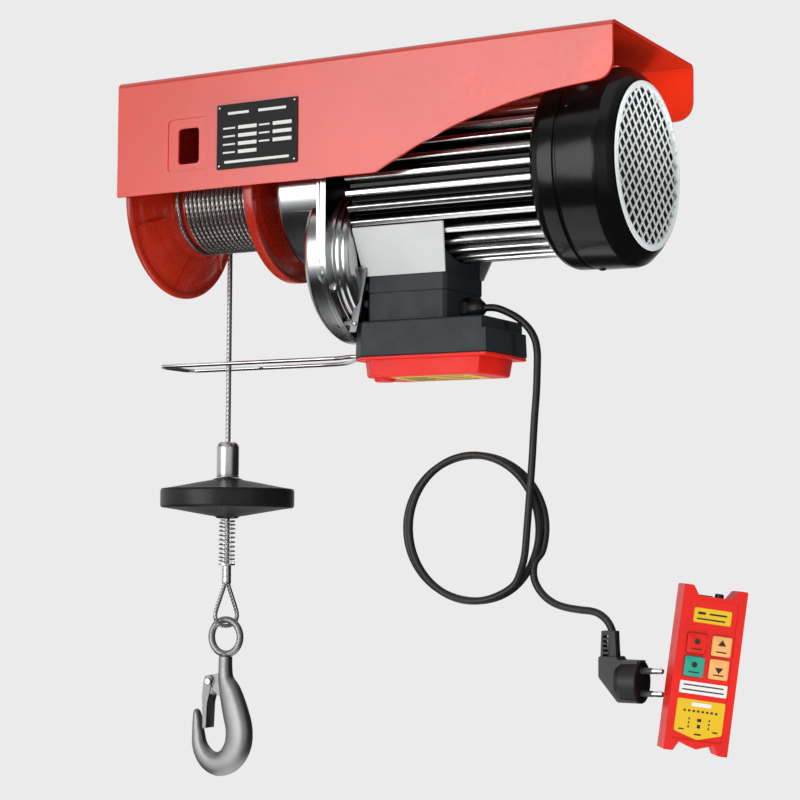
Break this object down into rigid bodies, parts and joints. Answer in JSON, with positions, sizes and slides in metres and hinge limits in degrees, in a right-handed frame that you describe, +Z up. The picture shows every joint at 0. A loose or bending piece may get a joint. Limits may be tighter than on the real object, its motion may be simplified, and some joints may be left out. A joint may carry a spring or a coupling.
{
  "type": "electric wire rope hoist",
  "caption": "Compact electric wire rope hoist: red channel frame, rope drum, spur gearbox, finned brake motor, control box, swivel hook, mains cord and wireless handset.",
  "frame": {"origin": "centre of the channel frame's top face, which bolts up under a beam or bracket", "axes": "+Z up, +X along the shaft line from the rope drum to the motor's fan, +Y towards the side where the rope leaves the drum"},
  "size_m": [0.6093, 0.2024, 0.6526],
  "materials": {
    "frame_red": "glossy powder coat",
    "drum_red": "high gloss enamel",
    "plastic_red": "moulded",
    "aluminium": "polished",
    "case_chrome": "polished",
    "steel": "satin",
    "hook_steel": "satin zinc",
    "chrome": "polished",
    "black_gloss": "gloss black",
    "box_grey": "moulded",
    "grille_white": "satin off-white",
    "weight_black": "black paint",
    "rubber_black": "matt",
    "plug_black": "moulded",
    "copper": "enamelled wire",
    "board": "circuit board",
    "case_plastic": "moulded",
    "fan_black": "moulded",
    "button_teal": "moulded",
    "button_amber": "moulded"
  },
  "bodies": {
    "hoist_body": {"frame_channel": "frame_red", "nameplate": "black_gloss", "end_bracket": "frame_red", "stub_axle": "steel", "gearcase_drum_half": "case_chrome", "gearcase_centre_plate": "aluminium", "gearcase_motor_half": "case_chrome", "output_bearing": "steel", "layshaft_bearing_left": "steel", "layshaft_bearing_right": "steel", "motor_housing": "aluminium", "stator_core": "steel", "stator_winding": "copper", "rotor_bearing_front": "steel", "rotor_bearing_rear": "steel", "motor_end_shield": "black_gloss", "fan_cowl": "black_gloss", "fan_grille": "grille_white", "control_box_neck": "box_grey", "control_box_body": "box_grey", "control_box_lid": "plastic_red", "start_capacitor": "case_plastic", "receiver_board": "board", "limit_switch": "fan_black", "cable_gland": "rubber_black", "lever_bracket": "steel", "power_cord": "rubber_black", "cord_coil": "rubber_black", "cord_tail": "rubber_black", "plug_body": "plug_black", "plug_pin_upper": "chrome", "plug_pin_lower": "chrome"},
    "drum": {"rope_drum": "drum_red", "wound_rope": "steel", "drum_bearing": "steel", "drum_shaft": "steel", "output_gear": "steel"},
    "layshaft": {"layshaft": "steel", "layshaft_gear": "steel"},
    "rotor": {"rotor_shaft": "steel", "rotor_core": "aluminium", "cooling_fan": "fan_black"},
    "limit_lever": {"limit_lever": "chrome"},
    "rope_end": {"hanging_rope": "steel", "crimp_ferrule": "aluminium", "rope_eye": "steel", "buffer_spring": "chrome"},
    "limit_weight": {"limit_weight": "weight_black", "weight_sleeve": "chrome"},
    "hook_eye": {"hook_eye": "hook_steel"},
    "hook": {"hook_body": "hook_steel", "latch_pin": "steel"},
    "latch": {"safety_latch": "chrome"},
    "handset": {"handset_front_shell": "plastic_red", "handset_back_shell": "plastic_red", "handset_board": "board"},
    "button_stop": {"button_stop": "plastic_red"},
    "button_start": {"button_start": "button_teal"},
    "button_up": {"button_up": "button_amber"},
    "button_down": {"button_down": "button_amber"}
  },
  "joints": [
    {"name": "drum_spin", "type": "hinge", "parent": "hoist_body", "child": "drum", "pos_m": [0, 0, -0.106], "axis": [1, 0, 0], "range_deg": [-388, 139]},
    {"name": "layshaft_spin", "type": "hinge", "parent": "hoist_body", "child": "layshaft", "pos_m": [0, 0, -0.169], "axis": [1, 0, 0], "range_deg": [-695, 1940]},
    {"name": "rotor_spin", "type": "hinge", "parent": "hoist_body", "child": "rotor", "pos_m": [0, 0, -0.106], "axis": [1, 0, 0], "range_deg": [-11640, 4170]},
    {"name": "hook_lift", "type": "slide", "parent": "hoist_body", "child": "rope_end", "axis": [0, 0, 1], "range_m": [-0.3, 0.1076], "deforming": ["hanging_rope"]},
    {"name": "weight_slide", "type": "slide", "parent": "rope_end", "child": "limit_weight", "axis": [0, 0, -1], "range_m": [0, 0.02], "stiffness_N_per_m": 1200, "springref_m": -0.03, "deforming": ["buffer_spring"]},
    {"name": "eye_swing", "type": "hinge", "parent": "rope_end", "child": "hook_eye", "pos_m": [-0.214, 0.0443, -0.5025], "axis": [1, 0, 0], "range_deg": [-25, 25]},
    {"name": "hook_swivel", "type": "hinge", "parent": "hook_eye", "child": "hook", "pos_m": [-0.214, 0.0443, -0.545], "axis": [0, 0, 1], "continuous": true},
    {"name": "latch_swing", "type": "hinge", "parent": "hook", "child": "latch", "pos_m": [-0.229, 0.0443, -0.562], "axis": [0, -1, 0], "range_deg": [0, 16], "stiffness_Nm_per_rad": 0.08, "springref_deg": -17.19},
    {"name": "lever_swing", "type": "hinge", "parent": "hoist_body", "child": "limit_lever", "pos_m": [-0.038, 0, -0.256], "axis": [0, 1, 0], "range_deg": [0, 10]},
    {"name": "handset_lift", "type": "slide", "parent": "hoist_body", "child": "handset", "axis": [0, 0, 1], "range_m": [0, 0.2]},
    {"name": "button_stop_press", "type": "slide", "parent": "handset", "child": "button_stop", "axis": [-0.5736, 0.8192, 0], "range_m": [0, 0.0012], "stiffness_N_per_m": 600, "springref_m": -0.001},
    {"name": "button_start_press", "type": "slide", "parent": "handset", "child": "button_start", "axis": [-0.5736, 0.8192, 0], "range_m": [0, 0.0012], "stiffness_N_per_m": 600, "springref_m": -0.001},
    {"name": "button_up_press", "type": "slide", "parent": "handset", "child": "button_up", "axis": [-0.5736, 0.8192, 0], "range_m": [0, 0.0012], "stiffness_N_per_m": 600, "springref_m": -0.001},
    {"name": "button_down_press", "type": "slide", "parent": "handset", "child": "button_down", "axis": [-0.5736, 0.8192, 0], "range_m": [0, 0.0012], "stiffness_N_per_m": 600, "springref_m": -0.001}
  ],
  "couplings": [
    {"joint": "layshaft_spin", "follows": "drum_spin", "ratio": -5},
    {"joint": "rotor_spin", "follows": "drum_spin", "ratio": 30},
    {"joint": "hook_lift", "follows": "drum_spin", "m_per_rad": 0.0443}
  ]
}
